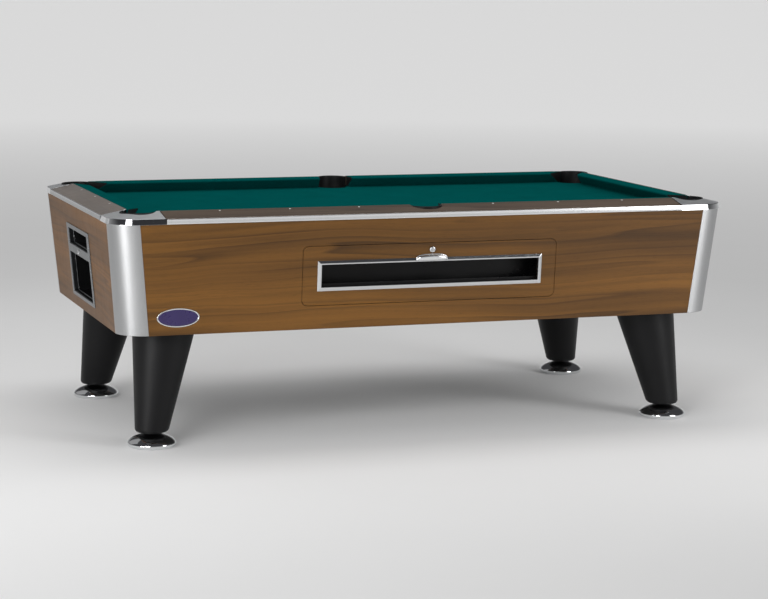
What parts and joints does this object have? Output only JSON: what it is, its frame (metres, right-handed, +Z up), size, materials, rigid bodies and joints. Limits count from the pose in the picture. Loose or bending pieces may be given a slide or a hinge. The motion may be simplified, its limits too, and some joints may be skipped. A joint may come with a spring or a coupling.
{
  "type": "pool table",
  "caption": "Coin-operated pool table with a leaning wood cabinet, slate bed, cloth cushions, pockets, drop-down ball-return door, coin end and splayed legs on levelling feet.",
  "frame": {"origin": "on the floor, under the middle of the table", "axes": "+X along the table's length, with the coin end at -X; the access door faces -Y; +Z up"},
  "size_m": [2.265, 1.275, 0.817],
  "materials": {
    "wood": "satin walnut-look laminate",
    "rail": "satin dark laminate",
    "alloy": "satin anodised",
    "casting": "satin cast metal",
    "cloth": "napped wool cloth",
    "slate": "honed slate stone, hidden under the cloth",
    "rubber": "matt black rubber",
    "black": "satin black",
    "chrome": "polished chrome",
    "board": "plain board, hidden",
    "steel": "folded sheet, hidden"
  },
  "bodies": {
    "table": {"front_panel": "wood", "back_panel": "wood", "left_end_panel": "wood", "right_end_panel": "wood", "rail_front": "rail", "rail_back": "rail", "rail_left": "rail", "rail_right": "rail", "corner_post_front_left": "alloy", "corner_post_front_right": "alloy", "corner_post_back_left": "alloy", "corner_post_back_right": "alloy", "trim_front": "alloy", "trim_back": "alloy", "trim_left": "alloy", "trim_right": "alloy", "end_bezel": "alloy", "badge_plate": "alloy", "corner_casting_front_left": "casting", "corner_casting_front_right": "casting", "corner_casting_back_left": "casting", "corner_casting_back_right": "casting", "bed_cloth": "cloth", "cushion_front_left": "cloth", "cushion_front_right": "cloth", "cushion_back_left": "cloth", "cushion_back_right": "cloth", "cushion_left_end": "cloth", "cushion_right_end": "cloth", "slate_bed": "slate", "pocket_liner_front_left": "rubber", "pocket_liner_front_right": "rubber", "pocket_liner_back_left": "rubber", "pocket_liner_back_right": "rubber", "pocket_liner_front_side": "rubber", "pocket_liner_back_side": "rubber", "leg_front_left": "black", "leg_front_right": "black", "leg_back_left": "black", "leg_back_right": "black", "ball_tray": "black", "end_recess_box": "black", "cabinet_floor": "board", "slate_beam_left": "board", "slate_beam_right": "board", "ball_run_front": "steel", "ball_run_back": "steel", "ball_run_end": "steel", "hinge_pin_left": "steel", "hinge_pin_right": "steel"},
    "foot_front_left": {"foot_front_left": "chrome"},
    "foot_front_right": {"foot_front_right": "chrome"},
    "foot_back_left": {"foot_back_left": "chrome"},
    "foot_back_right": {"foot_back_right": "chrome"},
    "door": {"access_door": "wood", "window_frame": "alloy", "door_pull": "chrome", "door_lock_body": "chrome"},
    "lock_barrel": {"door_lock_barrel": "chrome"},
    "coin_lock": {"end_lock": "chrome"}
  },
  "joints": [
    {"name": "levelling_front_left", "type": "slide", "parent": "table", "child": "foot_front_left", "axis": [0, 0, 1], "range_m": [-0.03, 0]},
    {"name": "levelling_front_right", "type": "slide", "parent": "table", "child": "foot_front_right", "axis": [0, 0, 1], "range_m": [-0.03, 0]},
    {"name": "levelling_back_left", "type": "slide", "parent": "table", "child": "foot_back_left", "axis": [0, 0, 1], "range_m": [-0.03, 0]},
    {"name": "levelling_back_right", "type": "slide", "parent": "table", "child": "foot_back_right", "axis": [0, 0, 1], "range_m": [-0.03, 0]},
    {"name": "door_hinge", "type": "hinge", "parent": "table", "child": "door", "pos_m": [0, -0.60177, 0.5062], "axis": [1, 0, 0], "range_deg": [0, 90]},
    {"name": "door_lock_turn", "type": "hinge", "parent": "door", "child": "lock_barrel", "pos_m": [0, -0.62112, 0.6672], "axis": [0, -0.9958, -0.0919], "range_deg": [0, 90]},
    {"name": "coin_lock_turn", "type": "hinge", "parent": "table", "child": "coin_lock", "pos_m": [-1.11146, 0, 0.6167], "axis": [-0.9958, 0, -0.0919], "range_deg": [0, 90]}
  ]
}
